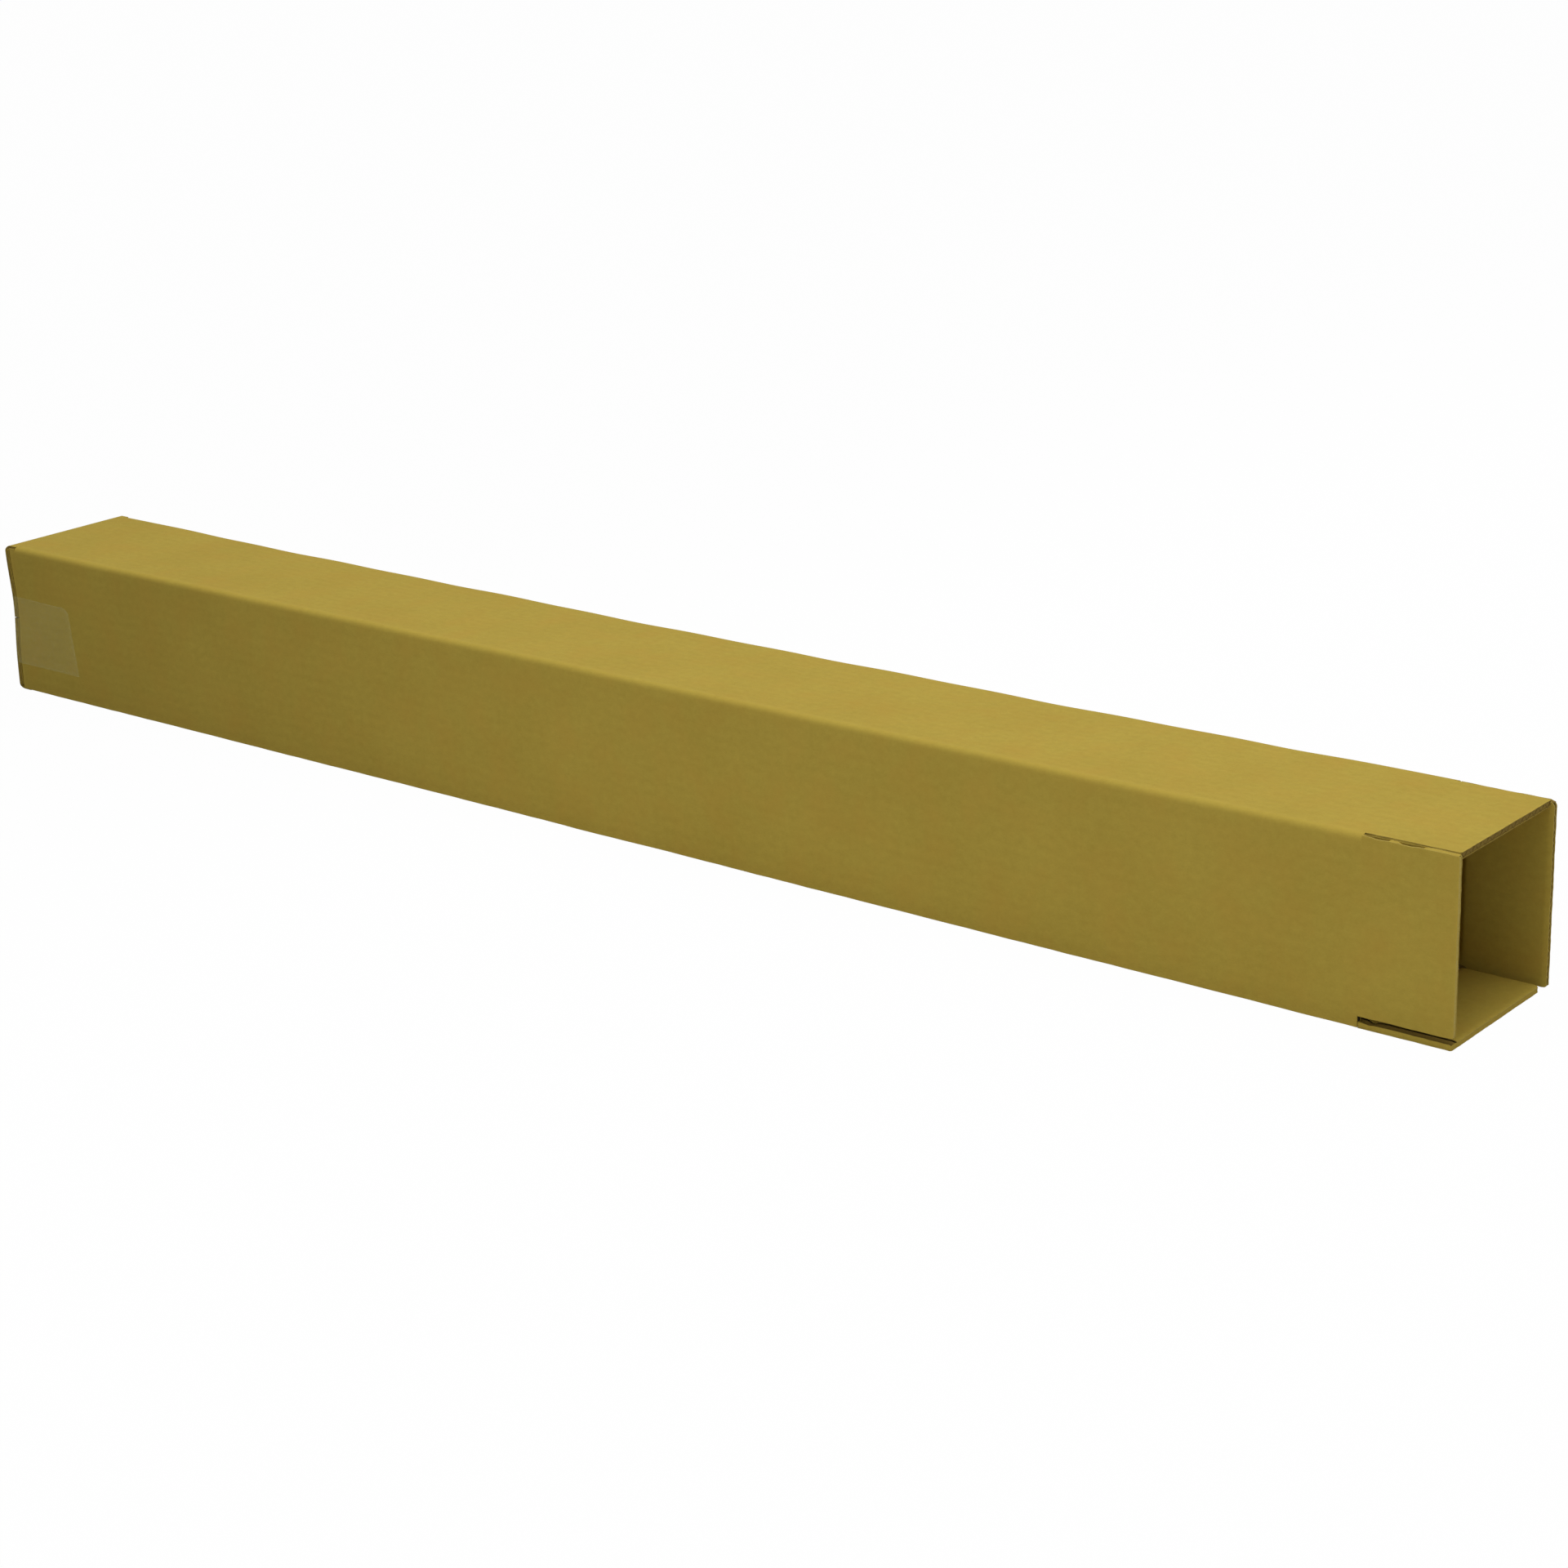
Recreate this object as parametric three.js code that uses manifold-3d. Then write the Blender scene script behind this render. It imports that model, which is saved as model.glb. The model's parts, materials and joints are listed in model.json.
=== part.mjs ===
// A long square shipping carton, in millimetres, +Z up and +X towards the open end.
// One folded and glued sheet of single-wall corrugated board. The far end is folded shut and
// taped, and the four flaps of the near end stand straight out.
// Front and back flaps are the inner pair. Top and bottom flaps are the outer pair and fold
// over them, so their scores lie one board further out.
import * as THREE from "three";
import { mergeVertices } from "three/addons/utils/BufferGeometryUtils.js";
import Module from "manifold-3d";

const wasm = await Module();
wasm.setup();

// Driving sizes of the box
const insideLength = 1117.6;
const insideWidth = 101.6;
const insideHeight = 101.6;
const foldRadius = 4;

// The corrugated board: its whole thickness, its two liners and the waved sheet between them
const board = 4;
const liner = 0.4;
const medium = 0.35;
const flutePitch = 7.8;
const glueLine = 1.8;
const crushedEdge = 9;

// Scores, slots and the running gaps of the flaps
const clearance = 0.3;
const creaseGap = 0.4;
const flapMeetingGap = 0.8;
const slotOvercut = 2.5;
const closedInset = 0.2;
const jointSlot = 8;
const backSlot = 10;

// The glued joint inside the front panel
const tabHeight = 35;
const tabInset = 6;
const tabTaper = 9;
const tabFoldRadius = 2;
const rawEdgeLift = 0.6;

// The clear tape over the closed end
const tapeWidth = 50.8;
const tapeCentreHeight = 46;
const tapeWrap = 68;
const tapeThickness = 0.2;
const glueFilm = 0.1;

// Smoothness of curves
const arcSteps = 6;
const waveSteps = 6;

// Sizes that follow from the ones above
const width = insideWidth + 2 * board;
const height = insideHeight + 2 * board;
const seat = board + clearance;
const closingReach = Math.min(width / 2, height / 2 + seat);
const innerFlapLength = closingReach - flapMeetingGap / 2;
const outerFlapLength = innerFlapLength - seat;
const scoreDistance = insideLength + 2 * board;
const tapeBuildUp = glueFilm + tapeThickness;
const totalLength = tapeBuildUp + seat + scoreDistance + innerFlapLength;

// Stations along the box
const closedFace = -totalLength / 2 + tapeBuildUp;
const innerScoreFar = closedFace + seat;
const innerScoreNear = innerScoreFar + scoreDistance;
const outerScoreNear = innerScoreNear + seat;
const slotRootFar = innerScoreFar + slotOvercut + foldRadius;
const slotRootNear = innerScoreNear - slotOvercut;

// The four sides of the tube. Each is drawn as a top side, z = 0 on its outer face, and turned
// about the box's centre line. low and high are what the slots take off its flaps' edges.
const sides = [
  { name: "top", turn: 0, span: width, rise: height / 2, outer: true, low: seat, high: seat },
  { name: "front", turn: 90, span: height, rise: width / 2, outer: false, low: jointSlot, high: seat },
  { name: "bottom", turn: 180, span: width, rise: height / 2, outer: true, low: backSlot, high: seat },
  { name: "back", turn: 270, span: height, rise: width / 2, outer: false, low: seat, high: seat },
];

const kraft = new THREE.MeshStandardMaterial({ color: 0xb29a45, roughness: 0.9, metalness: 0 });
const clearFilm = new THREE.MeshStandardMaterial({
  color: 0xc9c2a6,
  roughness: 0.2,
  metalness: 0,
  transparent: true,
  opacity: 0.35,
});

// A shape drawn in two of the axes, extruded along the third from one place to another
function extruded(shape, from, to) {
  return new THREE.ExtrudeGeometry(shape, {
    depth: to - from,
    bevelEnabled: false,
    curveSegments: arcSteps,
  }).translate(0, 0, from);
}

// The shape's own x and y become the object's y and z
function alongX(shape, from, to) {
  const turned = new THREE.Matrix4().makeBasis(
    new THREE.Vector3(0, 1, 0),
    new THREE.Vector3(0, 0, 1),
    new THREE.Vector3(1, 0, 0),
  );
  return extruded(shape, from, to).applyMatrix4(turned);
}

// The shape's own x and y become the object's x and z
function alongY(shape, from, to) {
  const turned = new THREE.Matrix4().makeBasis(
    new THREE.Vector3(1, 0, 0),
    new THREE.Vector3(0, 0, 1),
    new THREE.Vector3(0, -1, 0),
  );
  return extruded(shape, -to, -from).applyMatrix4(turned);
}

function polygon(points) {
  return new THREE.Shape(points.map(([x, y]) => new THREE.Vector2(x, y)));
}

// Solids for joining and cutting
function solidOf(geometry) {
  const bare = geometry.clone();
  bare.deleteAttribute("normal");
  bare.deleteAttribute("uv");
  const merged = mergeVertices(bare, 1e-4);
  return new wasm.Manifold(
    new wasm.Mesh({
      numProp: 3,
      vertProperties: merged.attributes.position.array,
      triVerts: new Uint32Array(merged.index.array),
    }),
  );
}

function geometryOf(solid) {
  const mesh = solid.getMesh();
  const geometry = new THREE.BufferGeometry();
  geometry.setAttribute("position", new THREE.BufferAttribute(mesh.vertProperties, 3));
  geometry.setIndex(new THREE.BufferAttribute(mesh.triVerts, 1));
  geometry.computeVertexNormals();
  return geometry;
}

// Where a side sits: its outer face, turned about the centre line of the tube
function sideMatrix(side, x = 0) {
  const angle = THREE.MathUtils.degToRad(side.turn);
  return new THREE.Matrix4()
    .makeTranslation(x, 0, height / 2)
    .multiply(new THREE.Matrix4().makeRotationX(angle))
    .multiply(new THREE.Matrix4().makeTranslation(0, 0, side.rise));
}

function placed(geometry, side) {
  return solidOf(geometry.applyMatrix4(sideMatrix(side)));
}

// The section of the tube. The front panel ends in a raw edge, and the bottom panel turns up
// inside it as the glue tab.
function tubeSection() {
  const edge = width / 2;
  const tabFace = -edge + board;
  const outline = new THREE.Shape();
  outline.moveTo(tabFace + tabFoldRadius, 0);
  outline.lineTo(edge - foldRadius, 0);
  outline.absarc(edge - foldRadius, foldRadius, foldRadius, -Math.PI / 2, 0);
  outline.lineTo(edge, height - foldRadius);
  outline.absarc(edge - foldRadius, height - foldRadius, foldRadius, 0, Math.PI / 2);
  outline.lineTo(-edge + foldRadius, height);
  outline.absarc(-edge + foldRadius, height - foldRadius, foldRadius, Math.PI / 2, Math.PI);
  outline.lineTo(-edge, rawEdgeLift);
  outline.lineTo(tabFace, rawEdgeLift);
  outline.lineTo(tabFace, tabFoldRadius);
  outline.absarc(tabFace + tabFoldRadius, tabFoldRadius, tabFoldRadius, Math.PI, 1.5 * Math.PI);
  outline.holes.push(
    new THREE.Path(
      [
        [tabFace + board, board],
        [tabFace + board, tabHeight],
        [tabFace, tabHeight],
        [tabFace, height - board],
        [edge - board, height - board],
        [edge - board, board],
      ].map(([y, z]) => new THREE.Vector2(y, z)),
    ),
  );
  return outline;
}

// What is cut from the tab at one end, so that it tapers and stops short of the folded flap
function tabEnd(score, towards) {
  const root = score - towards * (board + tabInset);
  const past = score + towards * board;
  const above = tabHeight + board;
  const tip = root - (towards * tabTaper * (above - board)) / (tabHeight - board);
  const shape = polygon([
    [root, board],
    [tip, above],
    [past, above],
    [past, board],
  ]);
  const tabFace = -width / 2 + board;
  return solidOf(alongY(shape, tabFace, tabFace + 2 * board));
}

// The panel's strip between two slots at the near end, as far as its score
function nearTongue(side) {
  const score = side.outer ? outerScoreNear : innerScoreNear;
  const end = score - creaseGap / 2;
  const shape = polygon([
    [slotRootNear - foldRadius, 0],
    [slotRootNear - foldRadius, -board],
    [end, -board],
    [end, 0],
  ]);
  return placed(alongY(shape, -side.span / 2 + side.low, side.span / 2 - side.high), side);
}

// The crease inside a near score: a right-angled groove, half of it in the panel
function nearCrease(side) {
  const score = side.outer ? outerScoreNear : innerScoreNear;
  const end = score - creaseGap / 2;
  const shape = polygon([
    [end, 0],
    [end - 2 * board, -2 * board],
    [end + board, -2 * board],
    [end + board, 0],
  ]);
  return placed(alongY(shape, -side.span / 2 + board, side.span / 2 - board), side);
}

// The same strip at the far end, bent down and on as the closed flap. All four reach the middle
// there, and the outer ones spread over the ends of the slots, so the end has full corners.
function farFlap(side) {
  const face = side.outer ? closedFace : innerScoreFar;
  const length = (side.outer ? height : width) / 2 - flapMeetingGap / 2;
  const low = side.outer ? closedInset : side.low;
  const high = side.outer ? closedInset : side.high;
  const shape = new THREE.Shape();
  shape.moveTo(slotRootFar, 0);
  shape.lineTo(face + foldRadius, 0);
  shape.absarc(face + foldRadius, -foldRadius, foldRadius, Math.PI / 2, Math.PI);
  shape.lineTo(face, -length);
  shape.lineTo(face + board, -length);
  shape.lineTo(face + board, -board);
  shape.lineTo(slotRootFar, -board);
  const root = polygon([
    [slotRootFar + board, 0],
    [slotRootFar - slotOvercut / 2, 0],
    [slotRootFar - slotOvercut / 2, -board],
    [slotRootFar + board, -board],
  ]);
  const flap = placed(alongY(shape, -side.span / 2 + low, side.span / 2 - high), side);
  return flap.add(placed(alongY(root, -side.span / 2 + side.low, side.span / 2 - side.high), side));
}

// The whole folded sheet, apart from the four open flaps
function cartonBody() {
  let solid = solidOf(alongX(tubeSection(), slotRootFar, slotRootNear));
  solid = solid.subtract(tabEnd(innerScoreNear, 1)).subtract(tabEnd(innerScoreFar, -1));
  for (const side of sides) {
    solid = solid.add(nearTongue(side)).add(farFlap(side));
  }
  for (const side of sides) {
    solid = solid.subtract(nearCrease(side));
  }
  return geometryOf(solid);
}

// One flute: the space between a liner and the waved sheet, from one glue line to the next.
// It lies under the outer liner where up is 1, and over the inner liner where up is -1.
function fluteShape(centre, up) {
  const swing = (board - 2 * liner - medium) / 2;
  const halfOpening = (flutePitch - glueLine) / 2;
  const points = [
    [centre + halfOpening, up * (board / 2 - liner) - board / 2],
    [centre - halfOpening, up * (board / 2 - liner) - board / 2],
  ];
  for (let step = 0; step <= waveSteps; step += 1) {
    const across = -halfOpening + (2 * halfOpening * step) / waveSteps;
    const phase = (2 * Math.PI * across) / flutePitch;
    const slope = (2 * Math.PI * swing * Math.sin(phase)) / flutePitch;
    const halfSheet = (medium / 2) * Math.sqrt(1 + slope * slope);
    const middle = -swing * Math.cos(phase);
    points.push([centre + across, up * (middle + halfSheet) - board / 2]);
  }
  return polygon(points);
}

// An open flap lying along +X from its hinge line, its outer face at z = 0. The flutes run out
// to its free edge and stop at the crushed board beside the score.
function openFlap(side) {
  const length = side.outer ? outerFlapLength : innerFlapLength;
  const from = -side.span / 2 + side.low;
  const to = side.span / 2 - side.high;
  const profile = polygon([
    [creaseGap / 2, 0],
    [creaseGap / 2 + board, -board],
    [length, -board],
    [length, 0],
  ]);
  let solid = solidOf(alongY(profile, from, to));
  const flutes = Math.ceil((to - from) / flutePitch);
  for (let index = 0; index <= flutes; index += 1) {
    const centre = (from + to) / 2 + (index - flutes / 2) * flutePitch;
    const under = solidOf(alongX(fluteShape(centre, 1), crushedEdge, length + board));
    const over = solidOf(alongX(fluteShape(centre + flutePitch / 2, -1), crushedEdge, length + board));
    solid = solid.subtract(under).subtract(over);
  }
  return geometryOf(solid);
}

// The tape's path over the closed end, one skin of it, at a distance out from the board:
// along the front panel, round its fold, over the side edge of the outer flaps, across, and back
function tapeSkin(distance) {
  const bend = new THREE.Vector2(innerScoreFar + foldRadius, -width / 2 + foldRadius);
  const corner = new THREE.Vector2(closedFace, -width / 2 + closedInset);
  const toCorner = corner.clone().sub(bend);
  const turn = toCorner.angle() + Math.acos(foldRadius / toCorner.length());
  const half = [new THREE.Vector2(closedFace + tapeWrap, -width / 2 - distance)];
  for (let step = 0; step <= arcSteps; step += 1) {
    const angle = 1.5 * Math.PI + ((turn - 1.5 * Math.PI) * step) / arcSteps;
    const radius = foldRadius + distance;
    half.push(new THREE.Vector2(bend.x + radius * Math.cos(angle), bend.y + radius * Math.sin(angle)));
  }
  for (let step = 0; step <= arcSteps; step += 1) {
    const angle = turn + ((Math.PI - turn) * step) / arcSteps;
    half.push(
      new THREE.Vector2(corner.x + distance * Math.cos(angle), corner.y + distance * Math.sin(angle)),
    );
  }
  const mirrored = half.map((point) => new THREE.Vector2(point.x, -point.y)).reverse();
  return [...half, ...mirrored];
}

function endTape() {
  const shape = new THREE.Shape([...tapeSkin(glueFilm + tapeThickness), ...tapeSkin(glueFilm).reverse()]);
  return extruded(shape, tapeCentreHeight - tapeWidth / 2, tapeCentreHeight + tapeWidth / 2);
}

const carton = new THREE.Group();

const body = new THREE.Mesh(cartonBody(), kraft);
body.name = "carton_body";
carton.add(body);

for (const side of sides) {
  const flap = new THREE.Mesh(openFlap(side), kraft);
  flap.name = `${side.name}_flap`;
  flap.applyMatrix4(sideMatrix(side, side.outer ? outerScoreNear : innerScoreNear));
  carton.add(flap);
}

const tape = new THREE.Mesh(endTape(), clearFilm);
tape.name = "end_tape";
carton.add(tape);

export default carton;
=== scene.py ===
import json
import math

import bmesh
import bpy
import numpy as np
from bpy.props import FloatProperty, FloatVectorProperty, PointerProperty
from mathutils import Matrix, Vector


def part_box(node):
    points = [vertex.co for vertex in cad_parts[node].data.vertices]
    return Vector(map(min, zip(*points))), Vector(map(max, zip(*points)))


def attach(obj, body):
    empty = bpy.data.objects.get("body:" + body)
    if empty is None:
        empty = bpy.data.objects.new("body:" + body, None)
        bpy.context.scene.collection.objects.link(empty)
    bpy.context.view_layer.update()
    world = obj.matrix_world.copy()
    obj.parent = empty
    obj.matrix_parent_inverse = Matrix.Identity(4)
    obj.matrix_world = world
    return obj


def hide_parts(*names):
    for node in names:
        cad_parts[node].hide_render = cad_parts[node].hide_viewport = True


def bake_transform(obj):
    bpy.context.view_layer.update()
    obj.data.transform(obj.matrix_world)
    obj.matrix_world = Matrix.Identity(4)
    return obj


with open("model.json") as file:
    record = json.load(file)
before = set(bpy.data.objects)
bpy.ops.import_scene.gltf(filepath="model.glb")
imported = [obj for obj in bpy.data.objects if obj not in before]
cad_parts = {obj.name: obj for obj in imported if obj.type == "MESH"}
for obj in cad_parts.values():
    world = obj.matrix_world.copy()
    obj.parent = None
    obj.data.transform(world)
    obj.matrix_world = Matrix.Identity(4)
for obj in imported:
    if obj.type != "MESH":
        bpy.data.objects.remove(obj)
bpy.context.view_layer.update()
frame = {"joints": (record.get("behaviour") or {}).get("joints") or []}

bl_info = {
    "name": "Long corrugated carton",
    "version": (1, 0, 0),
    "blender": (4, 5, 0),
    "location": "View3D > Sidebar > Carton",
    "description": "Builds the board, flaps, tape and studio of a long square shipping carton",
    "category": "Object",
}

# Everything is in metres. Sizes that the model also has come from the frame.
MM = 0.001
BODY_LOW, BODY_HIGH = (Vector(corner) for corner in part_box("carton_body"))
TAPE_LOW, TAPE_HIGH = (Vector(corner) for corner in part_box("end_tape"))
HINGE_X = {joint["child"]: joint["pos_m"][0] for joint in frame["joints"]}
WIDTH = BODY_HIGH.y - BODY_LOW.y
HEIGHT = BODY_HIGH.z - BODY_LOW.z
CLOSED_FACE = BODY_LOW.x
OUTER_SCORE = HINGE_X["top"]
INNER_SCORE = HINGE_X["front"]
INNER_SCORE_FAR = CLOSED_FACE + (OUTER_SCORE - INNER_SCORE)

# Where the slots end, how wide a knife's cut is, and how far behind its score a flap's piece starts
SLOT_ROOT_FAR = INNER_SCORE_FAR + 6.5 * MM
SLOT_ROOT_NEAR = INNER_SCORE - 2.5 * MM
SLIT = 0.12 * MM
JOINT_SETBACK = 9 * MM
# An open flap bends this far either side of its score
FOLD_REACH = 4 * MM
# The closed flaps: clear of the corners, the seam where they meet, and the inner ones' clearance
CLOSED_INSET = 0.2 * MM
MEETING_GAP = 0.8 * MM
INNER_CLEARANCE = 1.2 * MM
# How many cells a rounded fold has, and the widest of the others
FOLD_STEPS = 6
ROW_STEP = 7 * MM
STATION_STEP = 10 * MM
# The tube grows slack over the first stretch, and firm over the second, where it meets the mouth
SLACK_STARTS = (CLOSED_FACE + 10 * MM, CLOSED_FACE + 130 * MM)
SLACK_ENDS = (420 * MM, 520 * MM)
# How far out from the middle a point starts to belong to the panel there, and when it does
ON_PANEL = (28 * MM, 50 * MM)
# The front panel's raw edge: its lift and where that ends, and its pressed places and widths
RAW_LIFT = 0.55 * MM
RAW_LIFT_ENDS = (-40 * MM, 260 * MM)
RAW_PRESS = 0.42 * MM
PRESSED = ((-12 * MM, 34 * MM, 1.0), (506 * MM, 7 * MM, 0.5))
# The torn places in the front flap's upper edge: where, how wide, how deep, and how far in
TORN_PLACES = ((544.5 * MM, 4 * MM), (563 * MM, 4.5 * MM))
TORN_DEPTH = 0.6 * MM
TORN_REACH = 4.5 * MM
# The bottom flap's inner liner ends this far short along the joint's slot, so that the waved sheet
# shows under the front flap: partly real shade in its open channels, partly painted shade from the
# medium's darker colour
LINER_GAP_FOR_SHADE = 6.5 * MM
# The bottom flap's root is this far from the back panel, and narrows between these places
ROOT_GAP = 0.2 * MM
ROOT_NARROWS = (SLOT_ROOT_NEAR + 5 * MM, SLOT_ROOT_NEAR + 17 * MM)
# The finishes of an open flap, in the order of its material slots
LINER, CUT, MEDIUM = 0, 1, 2
# Each lamp's place, what it is aimed at, and its width and length
LAMP_ABOVE = ((0.5, 0.2, 2.3), (0.3, 0.0, 0.0), (2.2, 1.6))
LAMP_BESIDE = ((0.3, -2.1, 1.2), (0.2, 0.0, 0.05), (1.8, 1.2))
WHITE = (1.0, 1.0, 1.0, 1.0)


class Side:
    """One side of the tube: which way it faces, what the slots leave of its flaps, and how its
    open flap is cut. That is how much the free edge is pinched, how far in its crushed fibres
    lie and of which finish, which side edge is closed flush, and the low corner's radius."""

    def __init__(self, name, turn, outer, pinch, fibres_in, fibres, flush_edge, corner=0.9):
        angle = math.radians(turn)
        self.name = name
        self.outer = outer
        self.pinch = pinch * MM
        self.fibres_in = fibres_in * MM
        self.fibres = fibres
        self.flush_edge = flush_edge
        self.corners = (corner * MM, 0.9 * MM)
        self.normal = np.array([0.0, -math.sin(angle), math.cos(angle)])
        self.across = np.array([0.0, math.cos(angle), math.sin(angle)])
        self.rise = (HEIGHT if outer else WIDTH) / 2
        self.span = WIDTH if outer else HEIGHT
        self.score = OUTER_SCORE if outer else INNER_SCORE
        self.centre = np.array([0.0, 0.0, HEIGHT / 2])
        low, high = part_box(f"{name}_flap")
        ends = [float((np.array(place) - self.centre) @ self.across) for place in (low, high)]
        self.low, self.high = min(ends), max(ends)
        self.free_end = float(high[0])

    def point(self, x, across, depth):
        """A place given by its distance along the box, across the side, and below its face."""
        flat = self.centre + self.normal * self.rise
        return (
            flat
            + np.multiply.outer(x, [1.0, 0.0, 0.0])
            + np.multiply.outer(across, self.across)
            - np.multiply.outer(depth, self.normal)
        )


SIDES = {
    "bottom": Side("bottom", 180, True, 1.5, 0.2, LINER, 1),
    "back": Side("back", 270, False, 0.9, 0.6, MEDIUM, 0, corner=3.5),
    # The top flap's fibres take the darker medium finish: painted shade along its free edge
    "top": Side("top", 0, True, 0.3, 0.5, MEDIUM, -1),
    "front": Side("front", 90, False, 1.3, 0.15, CUT, 1),
}


def number(name, description, value, **kind):
    """A number that a user may change. kind is its unit or limits."""
    return FloatProperty(name=name, description=description, default=value, **kind)


def millimetres(name, description, value):
    return number(name, description, value * MM, unit="LENGTH")


def fraction(name, description, value):
    return number(name, description, value, min=0, max=1)


def tint(name, description, *colour):
    """A colour that a user may change."""
    return FloatVectorProperty(
        name=name, description=description, default=colour, subtype="COLOR", size=3
    )


class BoardSizes(bpy.types.PropertyGroup):
    """The corrugated board and how it is folded."""

    thickness: millimetres("Board", "Whole thickness of the board", 4)
    liner: millimetres("Liner", "Thickness of each flat sheet", 0.4)
    medium: millimetres("Medium", "Thickness of the waved sheet", 0.35)
    flute: millimetres("Flute", "From one wave to the next", 7.8)
    crease: millimetres("Crease", "Board left where a score crushes it", 1.7)
    fold_radius: millimetres("Fold radius", "Outside radius of a panel fold", 4)
    tight_radius: millimetres("Tight fold", "Outside radius where an inner flap is folded in", 1.5)
    tab_fold_radius: millimetres("Tab fold", "Outside radius of the glue tab's fold", 2)
    tab_height: millimetres("Tab height", "Height of the glue tab", 35)
    tab_inset: millimetres("Tab inset", "From a folded flap to the tab's end", 6)
    tab_taper: millimetres("Tab taper", "How much the tab narrows at each end", 9)
    glue_gap: millimetres("Glue gap", "Between the tab and the front panel", 0.08)
    raw_edge: millimetres("Raw edge", "Height of the front panel's raw edge", 0.6)
    outer_trim: millimetres("Outer trim", "How much shorter the top and bottom flaps are", 1.1)
    ragged: millimetres("Ragged edge", "How uneven a cut edge is", 0.16)
    sag: millimetres("Sag", "How far the top back fold sinks at mid length", 2.1)
    pillow: millimetres("Pillow", "How far a panel's middle bows in", 0.6)
    fold_waver: millimetres("Fold waver", "How far the long folds wander", 0.7)
    dish: millimetres("Dish", "How far the tape draws the closed end in", 1.1)


class BoardLook(bpy.types.PropertyGroup):
    """Colours and surface of the kraft paper."""

    kraft: tint("Kraft", "Main colour of the liner", 0.434, 0.318, 0.050)
    pale: tint("Pale fibre", "Lighter patches of the liner", 0.52, 0.385, 0.065)
    dark: tint("Dark fibre", "Darker patches of the liner", 0.355, 0.248, 0.032)
    warm: tint("Warm fibre", "Redder patches of the liner", 0.47, 0.29, 0.045)
    medium: tint("Medium", "Colour of the waved sheet", 0.21, 0.138, 0.027)
    cut: tint("Cut edge", "Colour of a freshly cut ply", 0.50, 0.39, 0.12)
    # Painted shade: the near black that stands for the shade inside each cut flute
    hollow: tint("Hollow", "Darkness inside a flute that is cut across", 0.018, 0.012, 0.004)
    roughness: fraction("Roughness", "Roughness of the liner", 0.84)


class TapeLook(bpy.types.PropertyGroup):
    """The clear tape over the closed end."""

    thickness: millimetres("Film", "Thickness of the film", 0.1)
    gap: millimetres("Glue", "From the board to the film", 0.12)
    wrap_top: millimetres("Wrap at top", "Reach on the front panel, top edge", 66)
    wrap_bottom: millimetres("Wrap at bottom", "Reach on the front panel, bottom edge", 72)
    wrap_back: millimetres("Wrap at back", "Reach on the back panel", 68)
    corner: millimetres("Corner", "Radius of the torn top corner", 6)
    seam_dip: millimetres("Seam dip", "How far the film sinks between the flaps", 0.5)
    colour: tint("Colour", "Haze of the film", 0.86, 0.80, 0.34)
    edge_colour: tint("Edge colour", "Haze of the film's cut edges", 0.88, 0.84, 0.34)
    haze: fraction("Haze", "How much of the board one face hides", 0.07)


class StudioSettings(bpy.types.PropertyGroup):
    """Camera, floor and lamps."""

    azimuth: number("Azimuth", "Turn of the camera, in degrees", 39.757)
    elevation: number("Elevation", "Height of the camera, in degrees", 18.69)
    roll: number("Roll", "Roll of the camera, in degrees", -1.949)
    distance: number("Distance", "From the camera to its target", 1.9624, unit="LENGTH")
    target: FloatVectorProperty(
        name="Target", description="What the camera looks at", subtype="XYZ", size=3,
        default=(0.1275, -0.0345, 0.0548),
    )
    lens: number("Lens", "Focal length on a 36 mm sensor", 74.01, unit="CAMERA")
    ambient: number("Ambient", "Light from all round", 0.43, min=0)
    floor_white: fraction("Floor white", "How much of the floor's shadow is lost", 0.985)
    floor_paint: tint("Floor paint", "Colour of the floor", 0.8, 0.8, 0.8)
    dull_paint: tint("Dull paint", "Colour of the floor's duller part", 0.3, 0.3, 0.3)
    dull_from: millimetres("Dull from", "Where the floor starts to be duller, against X", 50)
    dull_over: millimetres("Dull over", "How far on it is fully dull", 550)
    key: number("Key", "Power of the lamp above", 31.5, unit="POWER")
    side: number("Side", "Power of the lamp at the side", 3.5, unit="POWER")


def smooth_step(value, low, high):
    """Rises smoothly from 0 at low to 1 at high."""
    rise = np.clip((np.asarray(value, float) - low) / (high - low), 0.0, 1.0)
    return rise * rise * (3 - 2 * rise)


def bell(value, place, width):
    """1 at the place, falling smoothly to almost nothing at twice the width from it."""
    return np.exp(-(((value - place) / width) ** 2))


def wander(values, wavelengths, phase):
    """A smooth uneven line about zero and within one, made of a few waves."""
    values = np.asarray(values, float)
    waves = [
        np.sin(2 * math.pi * values / length + phase * (index + 1.3))
        for index, length in enumerate(wavelengths)
    ]
    return sum(waves) / len(waves)


def evenly(start, end, step):
    """Stops from start to end, no further apart than step."""
    count = max(1, math.ceil(abs(end - start) / step - 1e-6))
    return [start + (end - start) * index / count for index in range(count + 1)]


def through(stops, step):
    """Stops that pass through each given one, no further apart than step."""
    ordered = sorted(set(stops))
    places = [ordered[0]]
    for start, end in zip(ordered, ordered[1:]):
        places += evenly(start, end, step)[1:]
    return np.array(places)


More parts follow.
